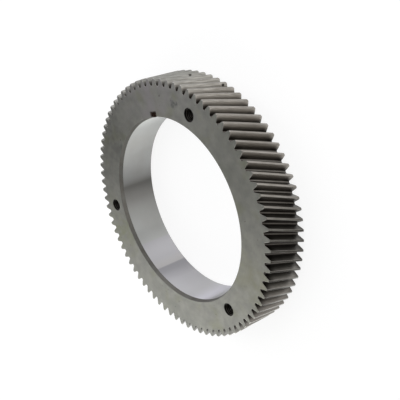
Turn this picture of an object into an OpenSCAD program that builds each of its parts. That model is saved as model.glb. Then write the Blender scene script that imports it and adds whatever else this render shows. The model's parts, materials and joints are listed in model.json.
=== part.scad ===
// Helical timing gear ring: a turned steel ring with hobbed teeth, a ground bore,
// a drive notch and tapped puller holes. The axis is +Z, the back face lies on Z = 0,
// the front face is at Z = face_w, and the drive notch points along +Y.

/* [Teeth] */
// Number of teeth
teeth = 82; // [79:1:100]
// Normal module
normal_module = 2.25; // [2.2:0.05:2.75]
// Pressure angle in the normal section
pressure_angle = 20; // [17.5:0.5:22.5]
// Helix angle at the pitch circle, right-handed
helix_angle = 19.2; // [0:0.1:30]
// Addendum as a multiple of the normal module
addendum_factor = 1.25; // [0.9:0.01:1.3]
// Dedendum as a multiple of the normal module
dedendum_factor = 1.3; // [1.15:0.01:1.45]
// Radius of the fillet at the root of each tooth
root_fillet_r = 0.8; // [0.3:0.05:1.2]
// Thinning of each tooth at the pitch circle, for backlash
backlash = 0.08; // [0:0.01:0.3]

/* [Ring] */
// Face width, which is the thickness of the ring
face_w = 32; // [20:0.5:60]
// Diameter of the ground bore
bore_d = 143; // [120:0.5:160]
// Length along the bore of the lead-in at the front
lead_in_l = 3.1; // [0.5:0.1:6]
// How far the lead-in opens the bore, on the radius
lead_in_rise = 1; // [0.2:0.1:1.6]
// Chamfer on the back edge of the bore
back_chamfer = 0.5; // [0.2:0.1:1.6]
// Chamfer on the outer edges of the turned blank, left on the tooth tips
tip_chamfer = 0.4; // [0.1:0.1:1]

/* [Puller holes] */
// Number of tapped holes
puller_count = 3; // [2:1:6]
// Diameter of the tapping drill
puller_drill_d = 8.5; // [4:0.1:9]
// Diameter of the countersink at both mouths of each hole
puller_sink_d = 9.6; // [9.1:0.1:11]

/* [Drive notch] */
// Width of the notch across the ring
notch_w = 6; // [3:0.1:10]
// Depth of the notch into the ring, measured out from the bore
notch_h = 4.2; // [2.2:0.1:6]
// Depth of the notch below the front face
notch_d = 6; // [2:0.1:12]
// Angle from the notch to the puller hole beside it
notch_to_hole = 30; // [15:1:45]

/* [Hidden] */

// Facets of the round surfaces
$fn = 180;
// Straight steps on each flank, on each root fillet and along the helix
flank_steps = 3;
fillet_steps = 2;
helix_steps = 4;
// How far a cutter runs past the surface that it opens
over = 1;

// Radii of the ring
bore_r = bore_d / 2;
pitch_r = teeth * normal_module / (2 * cos(helix_angle));
tip_r = pitch_r + addendum_factor * normal_module;
root_r = pitch_r - dedendum_factor * normal_module;

// Involute in the plane of rotation
transverse_angle = atan(tan(pressure_angle) / cos(helix_angle));
base_r = pitch_r * cos(transverse_angle);
pitch_turn = 360 / teeth;
gap_turn_at_pitch = pitch_turn / 4 + deg(backlash / 2 / pitch_r);

// Helix: how far the teeth turn over a length of the axis
turn_per_mm = deg(tan(helix_angle) / pitch_r);

// The holes lie midway between the bore and the tooth roots, on a circle of whole millimetres
puller_pcd = round(bore_r + root_r);

// Places around the axis: the notch is on +Y, and the holes follow from it
notch_turn = 90;
first_hole_turn = notch_turn - notch_to_hole;
hole_pitch_turn = 360 / puller_count;
last_hole_turn = first_hole_turn + (puller_count - 1) * hole_pitch_turn;

// Length of an arc over its radius, as an angle in degrees
function deg(ratio) = ratio * 180 / PI;

// Involute function of the point at radius r, in degrees
function involute_turn(r) =
    let (a = acos(base_r / r))
    deg(tan(a)) - a;

// Half of the angle of a gap at radius r, which the involute flanks bound
function half_gap(r) = gap_turn_at_pitch + involute_turn(r) - involute_turn(pitch_r);

function polar(r, turn) = [r * cos(turn), r * sin(turn)];

// Length of the flank's normal from the base circle to radius r, and the way back
function roll(r) = sqrt(r * r - base_r * base_r);
function radius_of_roll(l) = sqrt(l * l + base_r * base_r);

// The centre of a root fillet lies on an offset of the involute, which is the same involute
// turned by the fillet radius over the base radius. Its angle from the middle of the gap must
// stay above zero, so a fillet that is too wide for the gap is narrowed to most of what fits.
fillet_fill = 0.9;
function fillet_room(f) = half_gap(root_r + f) - deg(f / base_r);
widest_fillet_r =
    root_fillet_r * half_gap(root_r) / (half_gap(root_r) - fillet_room(root_fillet_r));
fillet_r = fillet_room(root_fillet_r) > 0 ? root_fillet_r : fillet_fill * widest_fillet_r;
fillet_centre_r = root_r + fillet_r;
fillet_turn = fillet_room(fillet_r);
flank_low_roll = roll(fillet_centre_r) - fillet_r;
flank_high_roll = roll(tip_r + over / 2);

// The flank from beyond the tip circle to the fillet
flank = [
    for (i = [0 : flank_steps])
        let (
            l = flank_high_roll + (flank_low_roll - flank_high_roll) * i / flank_steps,
            r = radius_of_roll(l)
        )
        polar(r, half_gap(r))
];

// The fillet from the flank to the root circle
fillet_centre = polar(fillet_centre_r, fillet_turn);
to_flank = flank[flank_steps] - fillet_centre;
flank_dir = atan2(to_flank[1], to_flank[0]);
root_dir = fillet_turn + 180;
fillet = [
    for (i = [1 : fillet_steps])
        fillet_centre + polar(fillet_r, flank_dir + (root_dir - flank_dir) * i / fillet_steps)
];

half_outline = concat(flank, fillet);
points = len(half_outline);
gap_outline = concat(
    half_outline,
    [for (i = [points - 1 : -1 : 0]) [half_outline[i][0], -half_outline[i][1]]]
);

// The ring as it is turned, with a lead-in at the front of the bore and chamfers on its other edges
module turned_blank() {
    rotate_extrude()
        polygon([
            [bore_r + back_chamfer, 0],
            [tip_r - tip_chamfer, 0],
            [tip_r, tip_chamfer],
            [tip_r, face_w - tip_chamfer],
            [tip_r - tip_chamfer, face_w],
            [bore_r + lead_in_rise, face_w],
            [bore_r, face_w - lead_in_l],
            [bore_r, back_chamfer]
        ]);
}

// What the hob takes out between the teeth. At the front face a tooth stands in line
// with the last puller hole.
module tooth_gaps() {
    cut_l = face_w + 2 * over;
    front_turn = last_hole_turn + pitch_turn / 2;
    translate([0, 0, -over])
        rotate([0, 0, front_turn - turn_per_mm * (face_w + over)])
            linear_extrude(
                height = cut_l,
                twist = -turn_per_mm * cut_l,
                slices = helix_steps,
                segments = 0
            )
                for (i = [0 : teeth - 1])
                    rotate([0, 0, i * pitch_turn])
                        polygon(gap_outline);
}

// One tapping hole right through the ring, with a right-angled countersink at each face
module puller_hole() {
    sink_depth = (puller_sink_d - puller_drill_d) / 2;
    mouth_d = puller_sink_d + 2 * over;
    translate([0, 0, -over])
        cylinder(h = face_w + 2 * over, d = puller_drill_d);
    translate([0, 0, -over])
        cylinder(h = sink_depth + over, d1 = mouth_d, d2 = puller_drill_d);
    translate([0, 0, face_w - sink_depth])
        cylinder(h = sink_depth + over, d1 = puller_drill_d, d2 = mouth_d);
}

module puller_holes() {
    for (i = [0 : puller_count - 1])
        rotate([0, 0, first_hole_turn + i * hole_pitch_turn])
            translate([puller_pcd / 2, 0, 0])
                puller_hole();
}

// The notch opens to the bore and to the front face
module drive_notch() {
    rotate([0, 0, notch_turn])
        translate([0, -notch_w / 2, face_w - notch_d])
            cube([bore_r + notch_h, notch_w, notch_d + over]);
}

module gear_ring() {
    color([0.46, 0.47, 0.45])
        difference() {
            turned_blank();
            tooth_gaps();
            puller_holes();
            drive_notch();
        }
}

gear_ring();
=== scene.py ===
# A helical timing gear ring, lying on its back face. The script follows the gear as it is made:
# the studio it stands in, the turned and ground ring, its hobbed teeth, its tapped holes, its notch.
import json
import math

import bpy
from mathutils import Matrix, Quaternion, Vector


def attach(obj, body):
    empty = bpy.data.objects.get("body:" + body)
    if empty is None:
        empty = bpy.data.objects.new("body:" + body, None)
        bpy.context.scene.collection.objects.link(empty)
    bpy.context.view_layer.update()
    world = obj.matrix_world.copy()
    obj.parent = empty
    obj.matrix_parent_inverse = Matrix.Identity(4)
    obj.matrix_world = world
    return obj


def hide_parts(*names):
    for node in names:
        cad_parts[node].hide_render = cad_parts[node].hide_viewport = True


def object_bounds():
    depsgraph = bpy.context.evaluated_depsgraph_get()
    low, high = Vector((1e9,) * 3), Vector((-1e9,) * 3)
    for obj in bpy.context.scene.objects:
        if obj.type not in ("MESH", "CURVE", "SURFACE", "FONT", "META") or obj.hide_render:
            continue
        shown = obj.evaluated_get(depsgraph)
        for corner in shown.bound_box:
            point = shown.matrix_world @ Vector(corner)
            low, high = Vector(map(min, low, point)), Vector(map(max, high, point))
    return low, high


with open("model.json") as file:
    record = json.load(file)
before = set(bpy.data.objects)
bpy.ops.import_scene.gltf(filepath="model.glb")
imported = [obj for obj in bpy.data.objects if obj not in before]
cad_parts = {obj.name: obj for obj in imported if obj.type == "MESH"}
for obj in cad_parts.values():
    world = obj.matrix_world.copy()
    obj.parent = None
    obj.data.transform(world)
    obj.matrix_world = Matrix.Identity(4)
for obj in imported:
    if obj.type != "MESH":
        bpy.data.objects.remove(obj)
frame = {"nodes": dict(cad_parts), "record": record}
cad_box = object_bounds()


# Camera. It looks down on the front face from the +X side, and it is rolled so that the lying ring
# stands up in the picture.
mm = 0.001
sensor_width = 36.0
lens = 62.72
look_at = Vector((12.75, 4.88, 16.0)) * mm
camera_distance = 520.5 * mm
camera_bearing = math.radians(15.88)
camera_height = math.radians(35.39)
camera_roll = math.radians(-111.08)

camera_data = bpy.data.cameras.new("camera")
camera_data.sensor_width = sensor_width
camera_data.lens = lens
camera = bpy.data.objects.new("camera", camera_data)
bpy.context.scene.collection.objects.link(camera)


def direction(bearing, height):
    """Unit vector at a bearing from +X and a height above the floor, both in radians."""
    return Vector((
        math.cos(bearing) * math.cos(height),
        math.sin(bearing) * math.cos(height),
        math.sin(height),
    ))


camera_back = direction(camera_bearing, camera_height)
camera_turn = (-camera_back).to_track_quat("-Z", "Y") @ Quaternion((0, 0, 1), camera_roll)
camera.location = look_at + camera_back * camera_distance
camera.rotation_mode = "QUATERNION"
camera.rotation_quaternion = camera_turn
bpy.context.scene.camera = camera
bpy.context.scene.view_settings.view_transform = "Standard"


# Studio. A wide table in matt white paint carries the gear, in a plain pale room with softboxes around
# it, and ground steel shows little but their reflections. The table glows where it is seen, directly or
# in the steel, so that the ground is white and still takes the gear's shadow.
table_size = 60.0
table_gap = 0.05 * mm
table_paint = 0.2
table_glow = 0.84
room_level = 0.35


def add_node(tree, kind, inputs=None, **settings):
    """Adds a node with its settings and gives each input a value or a link. Returns the output in use."""
    node = tree.nodes.new("ShaderNode" + kind)
    for name, value in settings.items():
        setattr(node, name, value)
    for name, value in (inputs or {}).items():
        if isinstance(value, bpy.types.NodeSocket):
            tree.links.new(value, node.inputs[name])
        else:
            node.inputs[name].default_value = value
    return next((output for output in node.outputs if output.enabled), None)


bpy.ops.object.select_all(action="DESELECT")
bpy.ops.mesh.primitive_plane_add(size=table_size, location=(0, 0, -table_gap))
table = bpy.context.object
table.name = "table"

white_paint = bpy.data.materials.new("matt_white_paint")
white_paint.use_nodes = True
tree = white_paint.node_tree
tree.nodes.clear()
rays = add_node(tree, "LightPath").node.outputs
seen = add_node(tree, "Math", {0: rays["Is Camera Ray"], 1: rays["Is Glossy Ray"]}, operation="MAXIMUM")
seen = add_node(tree, "Math", {0: seen, 1: rays["Is Transmission Ray"]}, operation="MAXIMUM")
level = add_node(tree, "Math", {0: seen, 1: table_glow}, operation="MULTIPLY")
glow = add_node(tree, "Emission", {"Color": (1, 1, 1, 1), "Strength": level})
paint = add_node(tree, "BsdfDiffuse", {"Color": (table_paint, table_paint, table_paint, 1)})
both = add_node(tree, "AddShader", {0: glow, 1: paint})
add_node(tree, "OutputMaterial", {"Surface": both})
table.data.materials.append(white_paint)

room = bpy.data.worlds.new("pale_room")
room.use_nodes = True
room.node_tree.nodes["Background"].inputs["Color"].default_value = (1, 1, 1, 1)
room.node_tree.nodes["Background"].inputs["Strength"].default_value = room_level
bpy.context.scene.world = room

softbox_distance = 1200 * mm
softboxes = {
    # name: bearing and height of the middle, width and height seen from the gear, all in degrees,
    # brightness, where 1 is white, and colour
    "softbox_front": (350, 13, 60, 20, 1.8, (1.0, 1.0, 0.98)),
    "softbox_right": (60, 47, 40, 48, 1.8, (0.98, 0.98, 1.0)),
    "softbox_back_right": (105, 13, 50, 20, 2.4, (0.95, 0.95, 1.0)),
    "softbox_back": (150, 37, 20, 68, 2.9, (0.96, 0.96, 1.0)),
    "softbox_back_left": (215, 13, 50, 20, 2.9, (1.0, 1.0, 0.97)),
    "softbox_high_left": (235, 36, 70, 26, 1.2, (1.0, 1.0, 0.97)),
    "softbox_left": (270, 13, 60, 20, 1.5, (1.0, 1.0, 0.96)),
}
for name, (bearing, height, wide, tall, brightness, colour) in softboxes.items():
    lamp_data = bpy.data.lights.new(name, "AREA")
    lamp_data.shape = "RECTANGLE"
    lamp_data.color = colour
    lamp_data.size = 2 * softbox_distance * math.tan(math.radians(wide / 2)) * math.cos(math.radians(height))
    lamp_data.size_y = 2 * softbox_distance * math.tan(math.radians(tall / 2))
    lamp_data.energy = brightness * math.pi * lamp_data.size * lamp_data.size_y
    lamp = bpy.data.objects.new(name, lamp_data)
    bpy.context.scene.collection.objects.link(lamp)
    towards = direction(math.radians(bearing), math.radians(height))
    lamp.location = towards * softbox_distance
    lamp.rotation_mode = "QUATERNION"
    lamp.rotation_quaternion = towards.to_track_quat("Z", "Y")
    lamp.visible_camera = False


# Gear ring. One piece of case-hardened steel: the blank is turned, the teeth are hobbed, and then
# both faces and the bore are ground. A thin film of oil keeps it from rusting.
mounts = {mount["name"]: mount for mount in frame["record"]["mounts"]}
tip_r = cad_box[1].x
face_w = cad_box[1].z
bore_r = mounts["bore"]["dims"]["r_mm"] * mm
lead_in_rise = 1.0 * mm
weld_distance = 2e-6

bpy.ops.object.select_all(action="DESELECT")
gear = bpy.data.objects.new("steel_gear_ring", frame["nodes"]["gear_ring"].data.copy())
bpy.context.scene.collection.objects.link(gear)
gear.select_set(True)
bpy.context.view_layer.objects.active = gear
gear.data.materials.clear()
bpy.ops.object.mode_set(mode="EDIT")
bpy.ops.mesh.select_all(action="SELECT")
bpy.ops.mesh.remove_doubles(threshold=weld_distance)
bpy.ops.mesh.normals_make_consistent(inside=False)
bpy.ops.object.mode_set(mode="OBJECT")
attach(gear, "root")
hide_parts("gear_ring")


def linear(hex_colour):
    """Linear colour of an sRGB hex value."""
    parts = [int(hex_colour[i:i + 2], 16) / 255 for i in (0, 2, 4)]
    return [v / 12.92 if v <= 0.04045 else ((v + 0.055) / 1.055) ** 2.4 for v in parts] + [1]


def new_steel(name):
    """Adds a bare steel material to the gear. Returns its tree, its shader and the place in mm."""
    material = bpy.data.materials.new(name)
    material.use_nodes = True
    gear.data.materials.append(material)
    tree = material.node_tree
    shader = tree.nodes["Principled BSDF"]
    shader.inputs["Metallic"].default_value = 1
    coords = add_node(tree, "TexCoord").node.outputs["Object"]
    place = add_node(tree, "VectorMath", {0: coords, "Scale": 1 / mm}, operation="SCALE")
    return tree, shader, place


def around_axis(tree, place):
    """Radius, height and outward direction of a place, seen from the gear's axis."""
    height = add_node(tree, "SeparateXYZ", {0: place}).node.outputs["Z"]
    flat = add_node(tree, "VectorMath", {0: place, 1: (1, 1, 0)}, operation="MULTIPLY")
    radius = add_node(tree, "VectorMath", {0: flat}, operation="LENGTH")
    outward = add_node(tree, "VectorMath", {0: flat}, operation="NORMALIZE")
    return radius, height, outward


def machining_marks(tree, outward, across, mark, run):
    """Noise of fine marks that run round the axis: mark is their width and run their length, in mm."""
    slow = add_node(tree, "VectorMath", {0: outward, "Scale": tip_r / mm / run}, operation="SCALE")
    fast = add_node(tree, "Math", {0: across, 1: 1 / mark}, operation="MULTIPLY")
    lift = add_node(tree, "CombineXYZ", {"Z": fast})
    where = add_node(tree, "VectorMath", {0: slow, 1: lift}, operation="ADD")
    return add_node(tree, "TexNoise", {"Vector": where, "Scale": 1, "Detail": 3})


def blotches(tree, place, size, low, high, least=0, most=1, detail=2):
    """Share of soft blotches of a size in mm, from least where their noise is low to most at its high."""
    noise = add_node(tree, "TexNoise", {"Vector": place, "Scale": 1 / size, "Detail": detail})
    return add_node(tree, "MapRange", {
        "Value": noise,
        "From Min": low,
        "From Max": high,
        "To Min": least,
        "To Max": most,
    })


def arc_from(tree, outward, bearing, radius):
    """Signed distance in mm around the axis from a bearing."""
    ahead = direction(bearing, 0)
    beside = direction(bearing + math.pi / 2, 0)
    along = add_node(tree, "VectorMath", {0: outward, 1: ahead}, operation="DOT_PRODUCT")
    off = add_node(tree, "VectorMath", {0: outward, 1: beside}, operation="DOT_PRODUCT")
    turn = add_node(tree, "Math", {0: off, 1: along}, operation="ARCTAN2")
    return add_node(tree, "Math", {0: turn, 1: radius / mm}, operation="MULTIPLY")


def share_near_bearing(tree, outward, bearing, radius, full, half_w):
    """Share of a band around the axis: 1 within a distance in mm of a bearing, and 0 from half its width on.
    """
    arc = add_node(tree, "Math", {0: arc_from(tree, outward, bearing, radius)}, operation="ABSOLUTE")
    return add_node(tree, "MapRange", {"Value": arc, "From Min": half_w, "From Max": full})


def stain(tree, steel, colour, *shares):
    """Lays a colour over the steel, by a share or by the product of several."""
    share = shares[0]
    for other in shares[1:]:
        share = add_node(tree, "Math", {0: share, 1: other}, operation="MULTIPLY")
    return add_node(tree, "Mix", {"Factor": share, 6: steel, 7: linear(colour)}, data_type="RGBA")


def roughen(tree, shader, marks, smooth, rough, depth):
    """Gives the shader a roughness between smooth and rough and a bump of a depth in mm, from marks."""
    roughness = add_node(tree, "MapRange", {
        "Value": marks,
        "From Min": 0.3,
        "From Max": 0.7,
        "To Min": smooth,
        "To Max": rough,
    })
    tree.links.new(roughness, shader.inputs["Roughness"])
    bump = add_node(tree, "Bump", {"Height": marks, "Distance": depth * mm, "Strength": 1})
    tree.links.new(bump, shader.inputs["Normal"])


def spread(tree, shader, amount, towards):
    """Spreads the reflections in one direction, as fine marks that run across it do."""
    shader.inputs["Anisotropic"].default_value = amount
    tree.links.new(towards, shader.inputs["Tangent"])


# Ground faces: a grinding wheel leaves fine rings on both faces, which spread the reflections outwards.
# Their tone changes in broad sectors around the axis, and handling leaves a few nicks. The grit's marks
# are about 0.05 mm wide and are drawn ten times as wide, to show.
grit_mark = 0.5
first_hole_degrees = 60
hole_count = mounts["puller_holes"]["dims"]["count"]
hole_circle_r = mounts["puller_holes"]["dims"]["pcd_mm"] / 2 * mm
hole_bearings = [math.radians(first_hole_degrees + 360 / hole_count * i) for i in range(hole_count)]
hole_axes = [direction(bearing, 0) * hole_circle_r for bearing in hole_bearings]
face_tones = (
    # bearing, half of the width in mm, colour and strength
    (math.radians(90), 50.0, "807D7D", 1.05),
    (math.radians(137), 26.0, "5F5F5B", 0.9),
    (math.radians(196), 18.0, "70735C", 0.9),
    (math.radians(250), 44.0, "6B6C66", 0.75),
    (math.radians(330), 34.0, "77765F", 0.45),
    (math.radians(30), 50.0, "6A6B64", 0.6),
)

# A dark ring of painted shade lies around the mouth of each hole, and dried oil has left a brown smear
# around the notch. Between the notch and the hole beside it the face is rubbed grey.
mouth_shade_full = 4.91
mouth_shade_end = 5.21
spot_core = 0.4
smear_edges = (
    # axis, where the smear begins and where it is full, in mm
    ("X", -4.2, -3.6),
    ("X", 3.8, 3.2),
    ("Y", 70.0, 71.0),
    ("Y", 76.5, 76.0),
)
smudges = (
    # bearing, radius, height and size in mm
    (math.radians(72.8), 86.8, 32.0, 2.8),
    (math.radians(71.4), 85.7, 32.0, 2.8),
    (math.radians(69.9), 85.5, 32.0, 2.6),
    (math.radians(72.4), 83.4, 32.0, 2.8),
)


def from_holes(tree, place):
    """Distance in mm from the axis of the nearest hole."""
    flat = add_node(tree, "VectorMath", {0: place, 1: (1, 1, 0)}, operation="MULTIPLY")
    nearest = add_node(tree, "VectorMath", {0: flat, 1: hole_axes[0] / mm}, operation="DISTANCE")
    for axis in hole_axes[1:]:
        away = add_node(tree, "VectorMath", {0: flat, 1: axis / mm}, operation="DISTANCE")
        nearest = add_node(tree, "Math", {0: nearest, 1: away}, operation="MINIMUM")
    return nearest


def around_holes(tree, place):
    """1 at and just around the mouth of each hole, 0 elsewhere."""
    away = from_holes(tree, place)
    return add_node(tree, "MapRange", {"Value": away, "From Min": mouth_shade_end, "From Max": mouth_shade_full})


def spots(tree, place, steel, where, colour):
    """Colours soft round spots, each given as a bearing, and a radius, height and size in mm."""
    for bearing, radius, height, size in where:
        middle = direction(bearing, 0) * radius + Vector((0, 0, height))
        away = add_node(tree, "VectorMath", {0: place, 1: middle}, operation="DISTANCE")
        spot = add_node(tree, "MapRange", {"Value": away, "From Min": size, "From Max": size * spot_core})
        steel = stain(tree, steel, colour, spot)
    return steel


tree, shader, place = new_steel("ground_steel_face")
radius, height, outward = around_axis(tree, place)
marks = machining_marks(tree, outward, radius, grit_mark, run=60)
mottle = blotches(tree, place, size=6, low=0.3, high=0.7, detail=5)
steel = stain(tree, linear("80807A"), "71716D", mottle)
for bearing, half_w, colour, strength in face_tones:
    layer = share_near_bearing(tree, outward, bearing, hole_circle_r, full=0, half_w=half_w)
    patches = blotches(tree, place, half_w / 4, low=0.35, high=0.65, most=strength, detail=3)
    steel = stain(tree, steel, colour, layer, patches)
yellowed = blotches(tree, place, size=16, low=0.55, high=0.7, most=0.5)
steel = stain(tree, steel, "70715F", yellowed)
nicks = blotches(tree, place, size=2.6, low=0.72, high=0.78, most=0.8)
steel = stain(tree, steel, "47463F", nicks)
across = add_node(tree, "SeparateXYZ", {0: place}).node.outputs
smear = [
    add_node(tree, "MapRange", {"Value": across[axis], "From Min": begins, "From Max": full})
    for axis, begins, full in smear_edges
]
steel = stain(tree, steel, "2B211B", *smear)
smudged = spots(tree, place, steel, smudges, "5C5C5B")
rubbed = blotches(tree, place, size=2.2, low=0.4, high=0.56, least=0.25, detail=4)
steel = add_node(tree, "Mix", {"Factor": rubbed, 6: steel, 7: smudged}, data_type="RGBA")
# painted shade: a dark ring around the mouth of each hole
steel = stain(tree, steel, "1E1C1A", around_holes(tree, place))
tree.links.new(steel, shader.inputs["Base Color"])
roughen(tree, shader, marks, smooth=0.38, rough=0.46, depth=0.003)
spread(tree, shader, 0.4, outward)

# Ground bore: the wheel runs round the bore, so its marks spread each reflection along the axis into
# a pale band, and the bands follow the room around the gear. These marks too are drawn wider than
# they are, to show.
bore_mark = 0.4

# Painted reflections lie over the bore: a dark line, lighter and darker bands that have a crisp edge and
# stay full for a third of their reach, and two lighter bands.
reflected_line_bearing = math.radians(169)
reflected_line_core = 0.8
reflected_line_half_w = 20.0
crisp_edge = 0.6
band_core = 0.3
reflected_bands = (
    # bearing of the crisp edge, reach from there to where the band has faded in mm, and colour
    (math.radians(209), 120.0, "C2C1C4"),
    (math.radians(169), 36.0, "989794"),
    (math.radians(229.5), -9.0, "CECCCC"),
    (math.radians(229.5), 16.0, "AEADB1"),
)
light_band_core = 4.0
light_bands = (
    # bearing and half of the width in mm, and colour
    (math.radians(108), 34.0, "C6C8C7"),
    (math.radians(275), 18.0, "CBCAD2"),
)
tree, shader, place = new_steel("ground_steel_bore")
radius, height, outward = around_axis(tree, place)
marks = machining_marks(tree, outward, height, bore_mark, run=80)
haze = blotches(tree, place, size=18, low=0.4, high=0.7)
steel = stain(tree, linear("C0C1BF"), "BABAB7", haze)
# painted highlights: two lighter bands
for bearing, half_w, colour in light_bands:
    layer = share_near_bearing(tree, outward, bearing, bore_r, light_band_core, half_w)
    steel = stain(tree, steel, colour, layer)
# painted reflections: lighter and darker bands with a crisp edge
for bearing, reach, colour in reflected_bands:
    arc = arc_from(tree, outward, bearing, bore_r)
    edge = math.copysign(crisp_edge, reach)
    begun = add_node(tree, "MapRange", {"Value": arc, "From Min": -edge, "From Max": edge})
    left = add_node(tree, "MapRange", {"Value": arc, "From Min": reach, "From Max": reach * band_core})
    steel = stain(tree, steel, colour, begun, left)
# painted reflection: a dark line along the bore
line = share_near_bearing(tree, outward, reflected_line_bearing, bore_r, reflected_line_core, reflected_line_half_w)
steel = stain(tree, steel, "757471", line, line)
tree.links.new(steel, shader.inputs["Base Color"])
roughen(tree, shader, marks, smooth=0.42, rough=0.46, depth=0.0015)
spread(tree, shader, 1, add_node(tree, "CombineXYZ", {"Z": 1}))

# Turned steel: the lathe leaves feed marks about 0.2 mm apart on the outside of the blank, of which
# only the tooth tips are left, and on the lead-in. They spread the reflections along the axis, and they
# are drawn 0.35 mm wide, to show.
feed_mark = 0.35

# Oil is brown on the tips of one side of the rim, and the tips are darker grey around a bearing
# beyond it. Painted shade darkens the tips on one stretch of the rim, between two places in mm around
# the rim from its bearing, and the first of them leans with the height. Two tips were knocked.
grey_tips_bearing = math.radians(106)
grey_tips_strength = 0.8
shade_bearing = math.radians(-17)
shade_begins = -49.0
shade_full = -23.0
shade_fades = 12.0
shade_end = 50.0
shade_lean = 21.0
brown_bearing = math.radians(27)
brown_core = 50.0
brown_half_w = 95.0
knocks = (
    # bearing, radius, height and size in mm
    (math.radians(75.7), 100.2, 11.0, 1.5),
    (math.radians(60.6), 99.0, 3.0, 1.4),
)


def browned(tree, outward, clean, brown):
    """Mixes two colours, brown on the side of the rim where the oil has aged."""
    aged = share_near_bearing(tree, outward, brown_bearing, tip_r, brown_core, brown_half_w)
    return add_node(tree, "Mix", {"Factor": aged, 6: clean, 7: brown}, data_type="RGBA")


tree, shader, place = new_steel("turned_steel_tip")
radius, height, outward = around_axis(tree, place)
marks = machining_marks(tree, outward, height, feed_mark, run=40)
layer = blotches(tree, place, size=9, low=0.35, high=0.7)
clean = stain(tree, linear("A2A29E"), "8E8E89", layer)
brown = stain(tree, linear("A5A09A"), "918C85", layer)
steel = browned(tree, outward, clean, brown)
arc = arc_from(tree, outward, shade_bearing, tip_r)
lean = add_node(tree, "MapRange", {
    "Value": height,
    "From Max": face_w / mm,
    "To Min": -shade_lean,
    "To Max": shade_lean,
})
leaning = add_node(tree, "Math", {0: arc, 1: lean}, operation="ADD")
begun = add_node(tree, "MapRange", {"Value": leaning, "From Min": shade_begins, "From Max": shade_full})
left = add_node(tree, "MapRange", {"Value": arc, "From Min": shade_end, "From Max": shade_fades})
# painted shade on the tips of one stretch of the rim
steel = stain(tree, steel, "383530", left, begun)
layer = share_near_bearing(tree, outward, grey_tips_bearing, tip_r, full=14, half_w=32)
steel = stain(tree, steel, "82827D", layer, grey_tips_strength)
steel = spots(tree, place, steel, knocks, "2A2724")
tree.links.new(steel, shader.inputs["Base Color"])
roughen(tree, shader, marks, smooth=0.36, rough=0.44, depth=0.003)
spread(tree, shader, 0.5, add_node(tree, "CombineXYZ", {"Z": 1}))

# The lead-in has the same marks under a dull film of old oil.
tree, shader, place = new_steel("turned_steel_lead_in")
radius, height, outward = around_axis(tree, place)
marks = machining_marks(tree, outward, height, feed_mark, run=40)
layer = blotches(tree, place, size=9, low=0.35, high=0.7)
steel = stain(tree, linear("6E6D69"), "625F5A", layer)
tree.links.new(steel, shader.inputs["Base Color"])
roughen(tree, shader, marks, smooth=0.42, rough=0.5, depth=0.003)
spread(tree, shader, 0.5, add_node(tree, "CombineXYZ", {"Z": 1}))


# Teeth. A hob cuts the gaps between them. Their flanks are left as cut, duller than the ground steel and
# with fine streaks along each tooth, which are drawn about 0.45 mm wide, to show. Towards the roots they
# darken with brown oil and dust and with painted shade, and a thin painted glint lies on each root.
root_r = 94.76 * mm
streaks_up = 2.2  # per mm
streaks_along = 0.05  # per mm
streaks_drift = 0.12  # per mm
dirt_and_shade_full = root_r / mm + 0.2
dirt_and_shade_end = tip_r / mm - 1.8
dirt_and_shade_strength = 0.85
root_glint_full = root_r / mm + 0.03
root_glint_end = root_r / mm + 0.08
root_glint_strength = 0.2

# Painted shade darkens the ends of the flanks on one stretch of the rim, from a share of the way out
# from the middle of the face width, and beside that the whole of the gaps.
ends_begin = 0.6
ends_full = 0.95
black_bearing = math.radians(-8)
black_strength = 0.65
# painted shade: darker flanks around two bearings
flank_shades = (
    # bearing, half of the full film and half of its width in mm, colour and strength
    (math.radians(-44), 10.0, 55.0, "766F68", 0.75),
    (math.radians(165), 40.0, 110.0, "6A6B66", 0.7),
)
tree, shader, place = new_steel("hobbed_steel_flank")
radius, height, outward = around_axis(tree, place)
flank = add_node(tree, "CombineXYZ", {"X": radius, "Y": height})
flank = add_node(tree, "VectorMath", {0: flank, 1: (streaks_up, streaks_along, 1)}, operation="MULTIPLY")
drift = add_node(tree, "VectorMath", {0: place, "Scale": streaks_drift}, operation="SCALE")
where = add_node(tree, "VectorMath", {0: flank, 1: drift}, operation="ADD")
streaks = add_node(tree, "TexNoise", {"Vector": where, "Scale": 1, "Detail": 4})
layer = add_node(tree, "MapRange", {"Value": streaks, "From Min": 0.35, "From Max": 0.65})
clean = stain(tree, linear("B0AFAA"), "8E8D88", layer)
brown = stain(tree, linear("B4AFA8"), "928D86", layer)
steel = browned(tree, outward, clean, brown)
for bearing, full, half_w, colour, strength in flank_shades:
    layer = share_near_bearing(tree, outward, bearing, tip_r, full, half_w)
    steel = stain(tree, steel, colour, layer, strength)
middle = add_node(tree, "MapRange", {"Value": height, "From Max": face_w / mm, "To Min": -1})
middle = add_node(tree, "Math", {0: middle}, operation="ABSOLUTE")
ends = add_node(tree, "MapRange", {"Value": middle, "From Min": ends_begin, "From Max": ends_full})
# painted shade at the ends of the flanks on one stretch of the rim
shade_stretch = share_near_bearing(tree, outward, shade_bearing, tip_r, full=12, half_w=60)
steel = stain(tree, steel, "2A2622", ends, shade_stretch)
# brown oil and dust, and painted shade, darken the flanks towards the roots
dirt_and_shade = add_node(tree, "MapRange", {
    "Value": radius,
    "From Min": dirt_and_shade_end,
    "From Max": dirt_and_shade_full,
    "To Max": dirt_and_shade_strength,
})
steel = stain(tree, steel, "3A3631", dirt_and_shade)
# painted shade where the roots meet the faces
steel = stain(tree, steel, "2A2622", ends, dirt_and_shade)
# painted glint: a thin lighter line along the root floor
root_glint = add_node(tree, "MapRange", {
    "Value": radius,
    "From Min": root_glint_end,
    "From Max": root_glint_full,
    "To Max": root_glint_strength,
})
steel = stain(tree, steel, "C8C3BC", root_glint)
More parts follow.
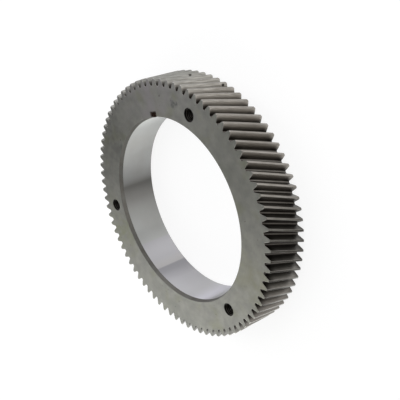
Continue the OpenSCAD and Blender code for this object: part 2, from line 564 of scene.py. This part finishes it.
# painted shade over the whole of the gaps beside that stretch
black = share_near_bearing(tree, outward, black_bearing, tip_r, full=16, half_w=36)
steel = stain(tree, steel, "322D28", black, black_strength)
steel = spots(tree, place, steel, knocks, "2A2724")
tree.links.new(steel, shader.inputs["Base Color"])
roughen(tree, shader, streaks, smooth=0.34, rough=0.5, depth=0.01)


# Puller holes. Three M10 holes for the screws that draw the gear off its shaft: each is drilled
# right through, countersunk at both faces, and then tapped.
hole_r = mounts["puller_holes"]["dims"]["hole_r_mm"] * mm
thread_pitch = 1.5 * mm
thread_r = 4.92 * mm
thread_crest = thread_pitch / 8
thread_steps = 28
flank_angle = math.radians(30)

# The tap is one thread's section, swept up the hole and cut off square outside both faces. It starts
# inside the drilled wall and is turned a little, so that none of its corners meets one of the wall's.
tap_inside = 0.25 * mm
tap_overrun = 2.5 * mm
tap_end = 1.0 * mm
tap_turn = math.radians(1)


def drawn_outline(points):
    """Draws a closed outline through the points by extruding its last one, and leaves edit mode."""
    bpy.ops.object.select_all(action="DESELECT")
    bpy.ops.mesh.primitive_plane_add(size=mm)
    bpy.ops.object.mode_set(mode="EDIT")
    bpy.ops.mesh.merge(type="CENTER")
    bpy.ops.transform.translate(value=points[0])
    for before, after in zip(points, points[1:] + points[:1]):
        bpy.ops.mesh.extrude_vertices_move(TRANSFORM_OT_translate={"value": after - before})
    bpy.ops.mesh.select_all(action="SELECT")
    bpy.ops.mesh.remove_doubles(threshold=weld_distance)
    bpy.ops.object.mode_set(mode="OBJECT")
    return bpy.context.object


def add_modifier(piece, kind, **settings):
    """Adds a modifier with its settings and applies it."""
    modifier = piece.modifiers.new(kind.lower(), kind)
    for name, value in settings.items():
        setattr(modifier, name, value)
    bpy.context.view_layer.objects.active = piece
    bpy.ops.object.modifier_apply(modifier=modifier.name)


tooth_inner_r = hole_r - tap_inside
tooth_half_w = thread_crest / 2 + (thread_r - tooth_inner_r) * math.tan(flank_angle)
tap = drawn_outline([
    Vector((tooth_inner_r, 0, -tooth_half_w)),
    Vector((thread_r, 0, -thread_crest / 2)),
    Vector((thread_r, 0, thread_crest / 2)),
    Vector((tooth_inner_r, 0, tooth_half_w)),
])
add_modifier(
    tap, "SCREW",
    angle=math.tau,
    screw_offset=thread_pitch,
    iterations=math.ceil((face_w + 2 * tap_overrun) / thread_pitch),
    steps=thread_steps,
    render_steps=thread_steps,
    use_merge_vertices=True,
    merge_threshold=weld_distance,
)
bpy.ops.object.mode_set(mode="EDIT")
bpy.ops.mesh.select_all(action="SELECT")
bpy.ops.mesh.remove_doubles(threshold=weld_distance)
bpy.ops.transform.translate(value=(0, 0, -tap_overrun))
for end, normal in ((-tap_end, (0, 0, -1)), (face_w + tap_end, (0, 0, 1))):
    bpy.ops.mesh.select_all(action="SELECT")
    bpy.ops.mesh.bisect(
        plane_co=(0, 0, end), plane_no=normal, threshold=weld_distance, use_fill=True, clear_outer=True
    )
bpy.ops.mesh.select_all(action="SELECT")
bpy.ops.mesh.normals_make_consistent(inside=False)
bpy.ops.object.mode_set(mode="OBJECT")

for axis in hole_axes:
    cutter = bpy.data.objects.new("tap_in_hole", tap.data.copy())
    bpy.context.scene.collection.objects.link(cutter)
    cutter.data.transform(Matrix.Translation(axis) @ Matrix.Rotation(tap_turn, 4, "Z"))
    add_modifier(gear, "BOOLEAN", operation="DIFFERENCE", solver="EXACT", object=cutter)
    bpy.data.objects.remove(cutter)
bpy.data.objects.remove(tap)
bpy.ops.object.select_all(action="DESELECT")
gear.select_set(True)
bpy.ops.object.mode_set(mode="EDIT")
bpy.ops.mesh.select_all(action="SELECT")
bpy.ops.mesh.remove_doubles(threshold=weld_distance)
bpy.ops.object.mode_set(mode="OBJECT")

# Tapped steel: the wall of the thread and the countersinks are painted near black, as painted shade
# inside the holes, and the crests are painted a little lighter, as painted glints.
crest_glint_full = hole_r / mm + 0.02
crest_glint_end = hole_r / mm + 0.12
tree, shader, place = new_steel("tapped_steel")
layer = blotches(tree, place, size=1.5, low=0.4, high=0.7)
steel = stain(tree, linear("1A1816"), "0E0D0B", layer)
away = from_holes(tree, place)
crest_glint = add_node(tree, "MapRange", {"Value": away, "From Min": crest_glint_end, "From Max": crest_glint_full})
steel = stain(tree, steel, "44413D", crest_glint)
tree.links.new(steel, shader.inputs["Base Color"])
roughen(tree, shader, layer, smooth=0.35, rough=0.5, depth=0.01)


# Drive notch. A small end mill cuts it into the bore's front edge for the key that times the gear,
# and it is brown and dull inside with old oil.
notch_half_w = 3.0 * mm
notch_depth = 6.0 * mm
tree, shader, place = new_steel("milled_steel_notch")
layer = blotches(tree, place, size=1.2, low=0.35, high=0.65)
steel = stain(tree, linear("3A2A22"), "241B17", layer)
tree.links.new(steel, shader.inputs["Base Color"])
roughen(tree, shader, layer, smooth=0.45, rough=0.6, depth=0.02)


# Broken edges. Each face of the mesh gets the finish of the cut that made it, and wherever two cuts
# meet, a stone has taken the burr off and left a thin bright line. It is dull with oil along the bore,
# darkened by painted shade around the holes, and a painted highlight makes it brightest at the tooth
# ends on one stretch of the rim.
edge_w = 0.12 * mm
edge_segments = 2
smooth_angle = math.radians(40)
bore_edge_full = 76.0
bore_edge_end = 78.0
edge_highlight_bearing = math.radians(-60)
edge_highlight_begins = tip_r / mm - 1
edge_highlight_full = tip_r / mm - 0.6
tree, shader, place = new_steel("stoned_steel_edge")
wear = blotches(tree, place, size=3, low=0.35, high=0.65)
radius, height, outward = around_axis(tree, place)
steel = stain(tree, linear("A3A29D"), "83807A", wear)
dull = add_node(tree, "MapRange", {"Value": radius, "From Min": bore_edge_end, "From Max": bore_edge_full})
steel = stain(tree, steel, "6E6D69", dull)
edge_highlight = share_near_bearing(tree, outward, edge_highlight_bearing, tip_r, full=16, half_w=38)
rim = add_node(tree, "MapRange", {"Value": radius, "From Min": edge_highlight_begins, "From Max": edge_highlight_full})
# painted highlight: the tooth ends on one stretch of the rim
steel = stain(tree, steel, "E9E6DF", edge_highlight, rim)
# painted shade: a dark ring around the mouth of each hole
steel = stain(tree, steel, "1E1C1A", around_holes(tree, place))
tree.links.new(steel, shader.inputs["Base Color"])
roughen(tree, shader, wear, smooth=0.3, rough=0.45, depth=0.002)

# The slack around a cut, and how far the faces it made point up, outwards or inwards: 1 is straight up
# or down, straight outwards or straight inwards.
near = 0.1 * mm
face_least_up = 0.99
tip_least_out = 0.97
chamfer_least_up = 0.5
chamfer_most_up = 0.85
bore_most_up = 0.1
lead_in_least_in = 0.9
finishes = [slot.name for slot in gear.material_slots]


def finish_of(centre, normal):
    """Name of the finish at a place on the gear that faces along the normal."""
    flat = Vector((centre.x, centre.y, 0))
    radius = flat.length
    faces_up = abs(normal.z)
    faces_out = normal.dot(flat) / radius
    if faces_up > face_least_up and not near < centre.z < face_w - near:
        return "ground_steel_face"
    if min((flat - axis).length for axis in hole_axes) < thread_r + near:
        return "tapped_steel"
    if radius > root_r - near:
        on_tip = radius > tip_r - near and faces_out > tip_least_out
        on_chamfer = chamfer_least_up < faces_up < chamfer_most_up
        return "turned_steel_tip" if on_tip or on_chamfer else "hobbed_steel_flank"
    in_notch = abs(centre.x) < notch_half_w + near and centre.y > 0 and centre.z > face_w - notch_depth - near
    if in_notch and (radius > bore_r + lead_in_rise or faces_out > -lead_in_least_in):
        return "milled_steel_notch"
    on_bore = radius < bore_r + near and faces_up < bore_most_up
    return "ground_steel_bore" if on_bore else "turned_steel_lead_in"


faces_at = {}
for face in gear.data.polygons:
    face.material_index = finishes.index(finish_of(face.center, face.normal))
    for key in face.edge_keys:
        faces_at.setdefault(key, set()).add(face.material_index)
weights = gear.data.attributes.new("bevel_weight_edge", "FLOAT", "EDGE")
for edge in gear.data.edges:
    weights.data[edge.index].value = len(faces_at[edge.key]) > 1
add_modifier(
    gear, "BEVEL",
    limit_method="WEIGHT",
    width=edge_w,
    segments=edge_segments,
    use_clamp_overlap=False,
    material=finishes.index("stoned_steel_edge"),
)
bpy.ops.object.shade_smooth_by_angle(angle=smooth_angle)
add_modifier(gear, "WEIGHTED_NORMAL", keep_sharp=True)
